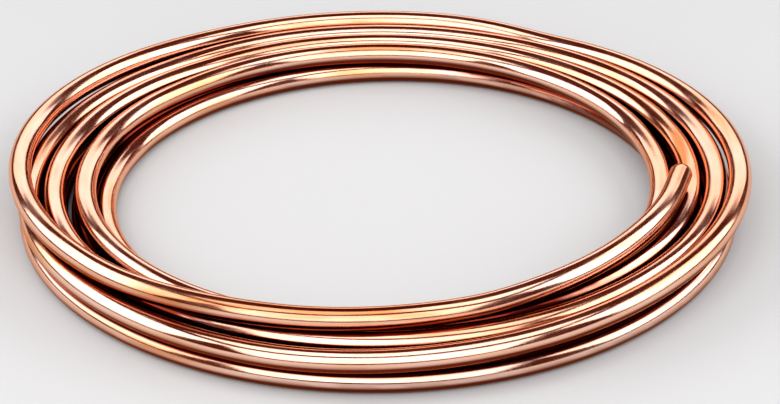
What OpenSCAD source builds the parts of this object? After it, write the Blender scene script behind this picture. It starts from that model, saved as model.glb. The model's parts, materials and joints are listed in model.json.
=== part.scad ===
// Coil of annealed copper tube, lying flat: one length of round tube wound in three layers.
// Every half turn is half a ring of tube, turned about its own middle. Each starts where the one
// before it ends, near the left or the right of the coil, so the whole length is one open tube.
// Millimetres, +Z up, the coil's axis on Z, the photo's front toward -Y.

/* [Tube] */
// Outside diameter of the tube
tube_d = 10; // [6:0.5:16]
// Wall of the tube
tube_wall = 1; // [0.6:0.1:2]

/* [Winding] */
// Outside diameter of the bottom layer's first turn
coil_d = 328; // [240:1:420]
// Air left between two turns side by side
turn_gap = 1.4; // [1:0.1:4]
// Air left between two layers
layer_gap = 0.2; // [0.1:0.05:1]
// Half turns in the bottom layer, which is wound inward
lower_halves = 6; // [6:2:10]
// Half turns in the middle layer, which is wound outward again
upper_halves = 7; // [5:2:7]
// How far the tube steps aside where it climbs, inward at the inside and outward at the outside
climb_step = 2; // [1.5:0.1:6]

/* [Free ends] */
// How far in the last half turn comes, from the first turn's middle to its own
end_inset = 27; // [12:0.5:40]
// How far the last half turn springs up from the turns below it
end_lift = 1.8; // [0.2:0.1:8]
// How far in front of the coil's right side the upper end starts, as a share of its reach
end_front = 0.28; // [0:0.02:0.6]
// Straight length at the upper end, which lies on top at the right
top_end_straight = 16; // [4:0.5:40]
// Straight length at the lower end, which lies at the back
low_end_straight = 20; // [4:0.5:40]

/* [Hidden] */
$fn = 96;

outer_r = (coil_d - tube_d) / 2;
half_step = (tube_d + turn_gap) / 2;
layer_step = tube_d + layer_gap;
inner_r = outer_r - lower_halves * half_step;
lead_r = outer_r + half_step / 2;
last_half = lower_halves + upper_halves + 2;
lay_turn = asin(end_front);
cosine_steps = 1000000;

// Distance from the axis at the start of half turn i, which is on the left when i is even
function reach(i) =
    i <= lower_halves ? outer_r - i * half_step :
    i == lower_halves + 1 ? inner_r - climb_step :
    i < last_half - 1 ? inner_r + (i - lower_halves - 1) * half_step :
    i < last_half ? outer_r + climb_step : outer_r - end_inset;

// Height of half turn i where it starts, above the bottom layer
function level(i) =
    i <= lower_halves ? 0 :
    i < last_half - 1 ? layer_step :
    i < last_half ? 2 * layer_step : 2 * layer_step + end_lift;

// Width across half turn i, and the slope of its climb to the next one. The slope's cosine is
// kept round, so that a climbing ring and the level one before it meet face to face.
function span(i) = reach(i) + reach(i + 1);
function rise(i) = level(i + 1) - level(i);
function climb(i) = acos(floor(cos(asin(rise(i) / span(i))) * cosine_steps) / cosine_steps);

// The tube's own section, a ring of wall
module wall_section() {
    difference() {
        circle(d = tube_d);
        circle(d = tube_d - 2 * tube_wall);
    }
}

// The section in half turn i. The tube isn't twisted, so it rolls a little with every climb.
module rolled_section(i) {
    rotate([0, 0, climb(i)])
        if (i == 0) wall_section();
        else rotate([0, 0, climb(i - 1)]) rolled_section(i - 1);
}

// A straight length of tube along +Y, from a section drawn across it
module straight(length) {
    translate([0, length, 0]) rotate([90, 0, 0]) linear_extrude(height = length) children();
}

// The winding from half turn i to the upper end. It starts at the middle of the tube's section,
// with +X out from the coil's axis and +Y along the tube.
module winding(i) {
    if (i < last_half) rotate([0, climb(i), 0]) {
        translate([-span(i) / 2, 0, 0]) rotate_extrude(angle = 180)
            translate([span(i) / 2, 0]) rolled_section(i);
        translate([-span(i), 0, 0]) rotate([0, -climb(i), 0]) rotate([0, 0, 180]) winding(i + 1);
    }
    else straight(top_end_straight) rotate([0, 0, climb(i - 1)]) rolled_section(i - 1);
}

// The lower end: a straight at the back, then a quarter turn to the first half turn
module low_end() {
    rotate([0, 0, 90]) rotate_extrude(angle = 90) translate([lead_r, 0]) wall_section();
    translate([0, lead_r, 0]) rotate([0, 0, -90]) straight(low_end_straight) wall_section();
}

// The whole length, turned so that the upper end comes to its place in front of the right side, and
// set so that its box is centred on Z and stands on the floor
module tube_coil() {
    color("peru") translate([climb_step / 2, -half_step / 2, tube_d / 2]) rotate([0, 0, -lay_turn]) union() {
        translate([lead_r - outer_r, 0, 0]) low_end();
        translate([-outer_r, 0, 0]) rotate([0, 0, 180]) winding(0);
    }
}

tube_coil();
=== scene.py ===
# %% [markdown]
# # A coil of copper tube
# The object is one length of soft copper tube, wound by hand into a loose flat coil. Nothing else
# belongs to it, so this lesson makes one mesh and gives it a finish that is worth looking at.
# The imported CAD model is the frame: it says where the coil lies, how thick the tube is and where
# its two cut ends are. Everything below is in metres, in that same frame.

# %% Load the frame
import json
import math

import bmesh
import bpy
import numpy as np
from mathutils import Matrix, Vector
from mathutils.bvhtree import BVHTree


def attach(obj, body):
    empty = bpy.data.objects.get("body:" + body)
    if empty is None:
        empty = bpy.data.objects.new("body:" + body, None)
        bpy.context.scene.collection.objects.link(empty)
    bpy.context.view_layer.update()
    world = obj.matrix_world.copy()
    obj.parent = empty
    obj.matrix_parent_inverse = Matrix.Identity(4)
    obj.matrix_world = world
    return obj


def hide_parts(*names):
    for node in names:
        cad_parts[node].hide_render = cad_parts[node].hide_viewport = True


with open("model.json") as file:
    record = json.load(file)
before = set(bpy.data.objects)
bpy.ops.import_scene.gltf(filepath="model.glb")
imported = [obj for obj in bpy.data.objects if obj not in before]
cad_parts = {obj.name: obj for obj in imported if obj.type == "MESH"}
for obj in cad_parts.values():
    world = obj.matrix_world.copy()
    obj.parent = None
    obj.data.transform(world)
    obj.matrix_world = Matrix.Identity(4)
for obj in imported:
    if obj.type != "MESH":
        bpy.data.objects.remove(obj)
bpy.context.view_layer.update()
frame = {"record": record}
MM = 0.001

mounts = {mount["name"]: mount for mount in frame["record"]["mounts"]}
tube_radius = mounts["top_end"]["dims"]["r_mm"] * MM
TUBE_WALL = 1.0 * MM

# %% [markdown]
# ## The camera
# The photo looks down at the coil by a little less than thirty degrees, from far away, so the
# near turns are hardly larger than the far ones. A camera that looks level along +Y only has to
# be tipped down by that angle, and rolled a little, because the photo isn't quite level either.
# The lens is worked out from how many pixels of the 780 wide picture a millimetre takes.

# %% Make the camera
PICTURE_WIDTH = 780
LOOK_DOWN = math.radians(28.8)
ROLL = math.radians(1.0)
CAMERA_DISTANCE = 1.3
PIXELS_PER_MM = 2.218
LOOK_AT = Vector((4.0 * MM, 0.0, 1.9 * MM))

camera = bpy.data.cameras.new("photo_view")
camera.sensor_fit = "HORIZONTAL"
camera.sensor_width = 36.0
camera.lens = camera.sensor_width * PIXELS_PER_MM * CAMERA_DISTANCE / MM / PICTURE_WIDTH
camera_object = bpy.data.objects.new("photo_view", camera)
tip_down = Matrix.Rotation(math.pi / 2 - LOOK_DOWN, 4, "X")
step_back = Matrix.Translation((0, 0, CAMERA_DISTANCE))
camera_object.matrix_world = (
    Matrix.Translation(LOOK_AT) @ tip_down @ Matrix.Rotation(-ROLL, 4, "Z") @ step_back
)
bpy.context.scene.collection.objects.link(camera_object)
bpy.context.scene.camera = camera_object
print("lens", round(camera.lens, 1), "mm")

# %% [markdown]
# ## The plan of the winding
# Seen from above, the tube starts at the back on the floor, goes round three times and a bit
# while it comes inward, then goes round again on top of itself while it goes outward, and at last
# crosses over all of it from the left to the free end at the right.
# A spiral by formula would look like a spring. A hand-wound coil wanders, so each turn is given
# four distances from the axis, read off the photo: where it passes the left, the front, the right
# and the back. A smooth curve through those stations is the plan.

# %% Plan the turns
START_REACH = 161.85
TURNS = [
    # left, front, right, back, in millimetres from the axis
    (159.0, 152.5, 153.3, 151.5),
    (147.6, 140.5, 141.9, 141.2),
    (136.2, 129.5, 130.5, 130.9),
    (126.0, 119.5, 123.5, 128.6),
    (134.0, 127.0, 136.5, 138.9),
    (147.3, 141.5, 148.0, 149.2),
    (157.8, 154.5, 158.5, 159.3),
    (164.4, 141.5, 131.947),
]
DEGREES_PER_RING = 2


def through_stations(values, quarters):
    """A smooth curve through one value for every quarter turn."""
    values = np.array(values, float)
    slope = np.zeros(len(values))
    slope[1:-1] = (values[2:] - values[:-2]) / 2
    k = np.clip(np.floor(quarters).astype(int), 0, len(values) - 2)
    u = quarters - k
    return (
        (2 * u**3 - 3 * u**2 + 1) * values[k] + (u**3 - 2 * u**2 + u) * slope[k]
        + (3 * u**2 - 2 * u**3) * values[k + 1] + (u**3 - u**2) * slope[k + 1]
    )


stations = [START_REACH] + [reach for turn in TURNS for reach in turn]
turned = np.arange(0, 90 * (len(stations) - 1) + 1, DEGREES_PER_RING)
reach = through_stations(stations, turned / 90) * MM
plan_x = reach * np.cos(np.radians(90 + turned))
plan_y = reach * np.sin(np.radians(90 + turned))
print(len(turned), "places along", round(turned[-1] / 360, 2), "turns")

# %% [markdown]
# ## Laying the tube down
# How high does each turn lie? On the real coil nobody measured it: every turn rests on the floor
# or on the turns laid before it. The same rule works here. Wherever an earlier turn passes below
# within one tube diameter, this turn has to lie high enough to touch it and not cut into it.
# A tube is too stiff to follow each bump, so the heights are spread along it and smoothed, always
# upward. Soft copper still springs a little, so a few stretches stand up from what is below them.

# %% Lay the turns on each other
STIFF_DEGREES = 8
SAME_TURN_DEGREES = 200
SPRING = {  # millimetres, by turn and quarter: 0 left, 1 front, 2 right, 3 back
    (4, 2): 2.0,
    (5, 1): 1.0,
    (5, 2): 4.0,
    (6, 2): 8.5,
    (6, 3): 1.6,
    (7, 2): 2.0,
}

tube_width = 2 * tube_radius
spring_at = [0.0] * len(stations)
for (turn, quarter), rise in SPRING.items():
    spring_at[1 + 4 * turn + quarter] = rise * MM
spring = np.maximum(through_stations(spring_at, turned / 90), 0)

apart = np.hypot(plan_x[:, None] - plan_x, plan_y[:, None] - plan_y)
laid_before = turned[None, :] < turned[:, None] - SAME_TURN_DEGREES
upper, lower = np.nonzero(laid_before & (apart < tube_width))
step_up = np.sqrt(tube_width**2 - apart[upper, lower] ** 2)

half_window = STIFF_DEGREES // DEGREES_PER_RING
window = np.hanning(2 * half_window + 3)[1:-1]
window /= window.sum()


def stiffen(heights):
    """The highest of the nearby heights, averaged, so no value comes out lower than it was."""
    padded = np.pad(heights, half_window, mode="edge")
    highest = np.lib.stride_tricks.sliding_window_view(padded, len(window)).max(axis=1)
    return np.convolve(np.pad(highest, half_window, mode="edge"), window, "valid")


LAYERS_SETTLED = 12
height = np.full(len(turned), tube_radius)
for _ in range(LAYERS_SETTLED):
    needed = np.full(len(turned), tube_radius)
    np.maximum.at(needed, upper, height[lower] + step_up)
    height = stiffen(needed) + spring

top_height = mounts["top_end"]["pos_m"][2]
to_end = np.clip((turned - turned[-1]) / 90 + 1, 0, 1)
height = height + (3 * to_end**2 - 2 * to_end**3) * (top_height - height[-1])
print("lowest", height.min(), "highest", height.max())

# %% [markdown]
# ## The path of the whole tube
# The plan is drawn about the coil's own axis, with the free end straight to the right. On the
# floor the coil is turned a little, so that the free end comes in front of the right side. The
# frame tells by how much: the upper mount's axis is the direction of the free end.
# Both ends run straight for a short length, as cut tube does, because a saw or a tube cutter
# needs a straight bit to hold on to.

# %% Join the turns and the two straight ends
STRAIGHT_RINGS = 6
top_end, low_end = mounts["top_end"], mounts["low_end"]
end_axis = Vector(top_end["axis"]).normalized()
end_middle = Vector(top_end["pos_m"])
end_half = end_axis * top_end["dims"]["length_mm"] * MM / 2
low_half = Vector(low_end["axis"]).normalized() * low_end["dims"]["length_mm"] * MM / 2

lay_turn = Matrix.Rotation(-math.atan2(end_axis.x, end_axis.y), 4, "Z")
plan = [Vector(place) for place in zip(plan_x, plan_y, height)]
winding = [lay_turn @ place for place in plan]
to_place = (end_middle - end_half) - winding[-1]
winding = [place + to_place for place in winding]


def straight(start, end, count=STRAIGHT_RINGS):
    """Places along a straight, without its start."""
    return [start.lerp(end, (k + 1) / count) for k in range(count)]


low_tip = Vector(low_end["pos_m"]) + low_half
path = [low_tip] + straight(low_tip, winding[0]) + winding[1:]
path += straight(winding[-1], end_middle + end_half)
print(len(path), "places from the low tip to the top tip")

# %% [markdown]
# ## The tube
# A curve with a round bevel would make a tube too, but not its wall. Here one flat grid is rolled
# up round the path, ring by ring. Its rows go along the outside to the top end and come back
# through the bore, and the last row meets the first one, so the wall closes at both ends by
# itself. At each place the ring turns only as much as the path does, so the tube isn't twisted.
# Every vertex also keeps where it was while the tube was still straight: across the section in x
# and y, and along the tube in z. The finish can use that to run its marks along the tube.

# %% Place a ring frame at every step of the path
headings = [(b - a).normalized() for a, b in zip(path, path[2:])]
headings = [(path[1] - path[0]).normalized()] + headings + [(path[-1] - path[-2]).normalized()]
turning = headings[0].to_track_quat("Z", "Y")
ring_frames = []
for k, place in enumerate(path):
    if k > 0:
        turning = headings[k - 1].rotation_difference(headings[k]) @ turning
    ring_frames.append(Matrix.Translation(place) @ turning.to_matrix().to_4x4())
steps = [(b - a).length for a, b in zip(path, path[1:])]
along = np.concatenate([[0.0], np.cumsum(steps)])
print(len(ring_frames), "ring frames along", round(along[-1], 3), "m")

# %% Roll the outside, the bore and the rims
TUBE_SIDES = 28
SEAM_REACH = 1e-6

rows = [(tube_radius, ring) for ring in range(len(path))]
rows += [(tube_radius - TUBE_WALL, ring) for ring in reversed(range(len(path)))]
rows.append(rows[0])

bm = bmesh.new()
straight_place = bm.verts.layers.float_vector.new("straight_place")
sheet = bmesh.ops.create_grid(
    bm, x_segments=TUBE_SIDES, y_segments=len(rows) - 1, size=0.5
)["verts"]
for vertex in sheet:
    radius, ring = rows[round((vertex.co.y + 0.5) * (len(rows) - 1))]
    angle = 2 * math.pi * vertex.co.x
    across = Vector((radius * math.cos(angle), radius * math.sin(angle), 0))
    vertex[straight_place] = (across.x, across.y, along[ring])
    vertex.co = ring_frames[ring] @ across
bmesh.ops.remove_doubles(bm, verts=sheet, dist=SEAM_REACH)
open_edges = [edge for edge in bm.edges if edge.is_boundary]
print(len(bm.faces), "faces in the outside, the bore and the rims,", len(open_edges), "open edges")

# %% [markdown]
# ## The cut ends
# The saw leaves a flat ring of bare metal at each end, and a quick turn with a deburring tool
# takes the sharp edge off. The rims are the only faces with corners at both radii, so they are
# easy to find. A small bevel wherever they meet the outside or the bore breaks the edge, which
# also catches the light as the real one does.

# %% Break the edges of both rims
RIM_BREAK = 0.25 * MM

for face in bm.faces:
    radii = [corner[straight_place].xy.length for corner in face.verts]
    face.material_index = int(max(radii) - min(radii) > TUBE_WALL / 2)
rim_edges = [
    edge for edge in bm.edges if len({face.material_index for face in edge.link_faces}) == 2
]
bmesh.ops.bevel(
    bm, geom=rim_edges, offset=RIM_BREAK, offset_type="OFFSET", affect="EDGES",
    segments=2, profile=0.5, material=-1, clamp_overlap=True,
)
bmesh.ops.recalc_face_normals(bm, faces=bm.faces)
for face in bm.faces:
    face.smooth = face.material_index == 0
bm.normal_update()
print(len(rim_edges), "rim edges broken")

# %% [markdown]
# ## The shaded places
# Painted shade darkens the copper in the grooves between the turns, on the undersides and deep
# in the bore, where little light gets in.
# How hidden is a place? From every vertex a few feelers go out, spread evenly over the side
# that it faces. The share of them that points down or soon meets another turn is its shade mask.
# In the bore it simply grows with the distance from the nearer end.

# %% Feel how hidden every vertex is, for the painted shade
FEELERS = 24
FEELER_REACH = 1.4 * tube_width
BORE_DARK_FROM = 40 * MM
GOLDEN_ANGLE = math.pi * (3 - math.sqrt(5))

feelers = []
for k in range(FEELERS):
    lean = math.sqrt((k + 0.5) / FEELERS)
    rise = math.sqrt(1 - lean**2)
    turn = k * GOLDEN_ANGLE
    feelers.append(Vector((lean * math.cos(turn), lean * math.sin(turn), rise)))

# The shade mask: how hidden each vertex is, which sets where the shade is painted.
shade_mask = bm.verts.layers.float.new("shade_mask")
turns_tree = BVHTree.FromBMesh(bm)
for vertex in bm.verts:
    place = vertex[straight_place]
    # In the bore the painted shade grows with the depth from the nearer end.
    if place.xy.length < tube_radius - TUBE_WALL / 2:
        vertex[shade_mask] = min(1.0, min(place.z, along[-1] - place.z) / BORE_DARK_FROM)
        continue
    facing = vertex.normal.to_track_quat("Z", "Y")
    start = vertex.co + vertex.normal * RIM_BREAK
    met = 0
    for feeler in feelers:
        heading = facing @ feeler
        if heading.z < 0 or turns_tree.ray_cast(start, heading, FEELER_REACH)[0]:
            met += 1
    vertex[shade_mask] = met / FEELERS
print("mean shelter", round(sum(v[shade_mask] for v in bm.verts) / len(bm.verts), 3))

# %% [markdown]
# ## The piece
# The mesh becomes an object that stays at the origin, because its place is already in its
# vertices. It stands for the imported solid, which is hidden, it moves with the one body that
# there is, and it takes its finish from the copper slot.

# %% Make the piece
tube_mesh = bpy.data.meshes.new("wound_tube")
bm.to_mesh(tube_mesh)
bm.free()
wound_tube = bpy.data.objects.new("wound_tube", tube_mesh)
bpy.context.scene.collection.objects.link(wound_tube)
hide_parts("tube_coil")
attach(wound_tube, "root")
tube_mesh.calc_loop_triangles()
print("wound tube:", len(tube_mesh.loop_triangles), "triangles")

# %% [markdown]
# ## Tools for the finishes
# A finish is a small graph of nodes, and the two finishes here need the same few moves: noise that
# runs along the tube, a ramp that turns noise into colours, and a range that turns it into
# numbers. The noise could read the place in the room, but then its marks would cut across the
# turns. It reads the place on the straightened tube, so they follow every bend.

# %% Node helpers
NOISE_LOW, NOISE_HIGH = 0.3, 0.7


def new_material(name):
    material = bpy.data.materials.new(name)
    material.use_nodes = True
    nodes, links = material.node_tree.nodes, material.node_tree.links
    return material, nodes, links, nodes["Principled BSDF"]


def stretched_noise(nodes, links, stretch, scale, detail, name):
    """Noise on the straightened tube. Stretch scales the section and the length."""
    place = nodes.new("ShaderNodeAttribute")
    place.attribute_name = "straight_place"
    mapping = nodes.new("ShaderNodeMapping")
    mapping.inputs["Scale"].default_value = (stretch[0], stretch[0], stretch[1])
    noise = nodes.new("ShaderNodeTexNoise")
    noise.name = name
    noise.inputs["Scale"].default_value = scale
    noise.inputs["Detail"].default_value = detail
    links.new(place.outputs["Vector"], mapping.inputs["Vector"])
    links.new(mapping.outputs["Vector"], noise.inputs["Vector"])
    return noise.outputs["Fac"]


def ramp(nodes, links, source, stops):
    """A colour ramp from position and colour pairs."""
    node = nodes.new("ShaderNodeValToRGB")
    elements = node.color_ramp.elements
    while len(elements) < len(stops):
        elements.new(0.5)
    for element, (position, colour) in zip(elements, stops):
        element.position = position
        element.color = (*colour, 1.0)
    links.new(source, node.inputs["Fac"])
    return node.outputs["Color"]


def spread(nodes, links, source, low, high):
    """Maps noise, which stays near the middle, onto a range of values."""
    node = nodes.new("ShaderNodeMapRange")
    node.inputs["From Min"].default_value = NOISE_LOW
    node.inputs["From Max"].default_value = NOISE_HIGH
    node.inputs["To Min"].default_value = low
    node.inputs["To Max"].default_value = high
    links.new(source, node.inputs["Value"])
    return node.outputs["Result"]


print("noise is taken to lie between", NOISE_LOW, "and", NOISE_HIGH)

# %% [markdown]
# ## The copper
# Bright drawn copper is a mirror that has been pulled through a die: fine lines run along the
# tube, the colour drifts between pink, orange and brown where air and fingers have been at it,
# and the shine is softer where it was handled. Each comes from its own noise. Painted shade
# then darkens it to a deep red-brown where the shade mask of a vertex is high.

# %% Drawn copper
# Painted shade: where the shade mask rises between these values, the copper turns dark red-brown.
PAINTED_SHADE_FROM, PAINTED_SHADE_FULL = 0.42, 0.64
PAINTED_SHADE_COLOUR = (0.17, 0.020, 0.010, 1.0)
EDGE_TINT = (1.0, 0.66, 0.5, 1.0)
LINE_DEPTH = 0.12 * MM

copper, nodes, links, shader = new_material("drawn_copper")
stain = stretched_noise(nodes, links, (90, 9), 1.0, 4.0, "stain")
draw_lines = stretched_noise(nodes, links, (2600, 12), 1.0, 3.0, "draw_lines")
handling = stretched_noise(nodes, links, (160, 60), 1.0, 2.0, "handling")
bright = ramp(nodes, links, stain, [
    (0.30, (0.70, 0.25, 0.10)),
    (0.43, (0.95, 0.53, 0.36)),
    (0.57, (0.97, 0.63, 0.50)),
    (0.72, (0.86, 0.38, 0.17)),
])
# Painted shade is mixed into the base colour where the shade mask is high.
shade_mask_reader = nodes.new("ShaderNodeAttribute")
shade_mask_reader.attribute_name = "shade_mask"
painted_shade = nodes.new("ShaderNodeMapRange")
painted_shade.interpolation_type = "SMOOTHSTEP"
painted_shade.inputs["From Min"].default_value = PAINTED_SHADE_FROM
painted_shade.inputs["From Max"].default_value = PAINTED_SHADE_FULL
links.new(shade_mask_reader.outputs["Fac"], painted_shade.inputs["Value"])
colour = nodes.new("ShaderNodeMix")
colour.data_type = "RGBA"
colour.inputs["B"].default_value = PAINTED_SHADE_COLOUR
links.new(painted_shade.outputs["Result"], colour.inputs["Factor"])
links.new(bright, colour.inputs["A"])
links.new(colour.outputs["Result"], shader.inputs["Base Color"])
shader.inputs["Metallic"].default_value = 1.0
shader.inputs["Specular Tint"].default_value = EDGE_TINT
links.new(spread(nodes, links, handling, 0.08, 0.18), shader.inputs["Roughness"])
bump = nodes.new("ShaderNodeBump")
bump.inputs["Strength"].default_value = 0.2
bump.inputs["Distance"].default_value = LINE_DEPTH
links.new(draw_lines, bump.inputs["Height"])
links.new(bump.outputs["Normal"], shader.inputs["Normal"])
tube_mesh.materials.append(copper)
print("drawn copper:", len(nodes), "nodes")

# %% [markdown]
# ## The sawn rims
# Fresh from the saw, the metal of the rims is paler and duller than the drawn outside, with fine
# scratches in no special direction. A tighter noise gives both its colour and its roughness.

# %% Sawn copper on the rims
sawn, nodes, links, shader = new_material("sawn_copper")
saw_marks = stretched_noise(nodes, links, (1800, 200), 1.0, 2.0, "saw_marks")
colour = ramp(nodes, links, saw_marks, [(0.35, (0.80, 0.40, 0.24)), (0.65, (0.95, 0.60, 0.44))])
links.new(colour, shader.inputs["Base Color"])
shader.inputs["Metallic"].default_value = 1.0
links.new(spread(nodes, links, saw_marks, 0.32, 0.5), shader.inputs["Roughness"])
tube_mesh.materials.append(sawn)
print("sawn copper:", len(nodes), "nodes")

# %% [markdown]
# ## The floor
# The photo is a shop picture on white. A pale matt floor comes close to that and still shows the
# coil's shadow, which tells that it lies flat.

# %% Lay the floor
FLOOR_SIZE = 8.0
FLOOR_COLOUR = (0.64, 0.67, 0.677, 1.0)

bm = bmesh.new()
bmesh.ops.create_grid(bm, x_segments=8, y_segments=8, size=FLOOR_SIZE / 2)
floor_mesh = bpy.data.meshes.new("floor")
bm.to_mesh(floor_mesh)
bm.free()
floor = bpy.data.objects.new("floor", floor_mesh)
bpy.context.scene.collection.objects.link(floor)
paper, nodes, links, shader = new_material("pale_paper")
shader.inputs["Base Color"].default_value = FLOOR_COLOUR
shader.inputs["Roughness"].default_value = 0.9
shader.inputs["Specular IOR Level"].default_value = 0.1
floor_mesh.materials.append(paper)
print("floor", FLOOR_SIZE, "m wide")

# %% [markdown]
# ## The light
# Metal shows what is around it more than its own colour, so the lamps are as much a part of the
# finish as the copper is. One strong lamp would leave most of the tube black. Wide lamps in front,
# above, behind and at both sides give every stretch of the coil its pale bands, and the dim red
# surroundings between them give the deep edges.

# %% Hang the lamps
LAMPS = [
    # name, place, width and height, watts
    ("front_lamp", (-0.1, -1.5, 0.98), (2.6, 1.6), 29),
    ("ceiling_lamp", (0.0, -0.15, 1.7), (1.8, 0.9), 10),
    ("back_lamp", (0.0, 1.7, 0.75), (2.8, 0.6), 8),
    ("left_lamp", (-1.48, 0.1, 0.9), (2.0, 1.4), 21),
    ("right_lamp", (1.48, 0.1, 0.9), (1.9, 1.4), 20),
]
SURROUNDINGS_COLOUR = (1.0, 0.2, 0.14, 1.0)
SURROUNDINGS_STRENGTH = 0.09


def soft_lamp(name, place, size, watts):
    """A flat soft lamp at a place, turned to shine at the coil's middle."""
    lamp = bpy.data.lights.new(name, "AREA")
    lamp.shape = "RECTANGLE"
    lamp.size, lamp.size_y = size
    lamp.energy = watts
    lamp_object = bpy.data.objects.new(name, lamp)
    heading = (-Vector(place)).to_track_quat("-Z", "Y")
    lamp_object.matrix_world = Matrix.Translation(place) @ heading.to_matrix().to_4x4()
    lamp_object.visible_camera = False
    bpy.context.scene.collection.objects.link(lamp_object)


for lamp_row in LAMPS:
    soft_lamp(*lamp_row)

surroundings = bpy.data.worlds.new("surroundings")
surroundings.use_nodes = True
background = surroundings.node_tree.nodes["Background"]
background.inputs["Color"].default_value = SURROUNDINGS_COLOUR
background.inputs["Strength"].default_value = SURROUNDINGS_STRENGTH
bpy.context.scene.world = surroundings
bpy.context.scene.view_settings.view_transform = "Standard"
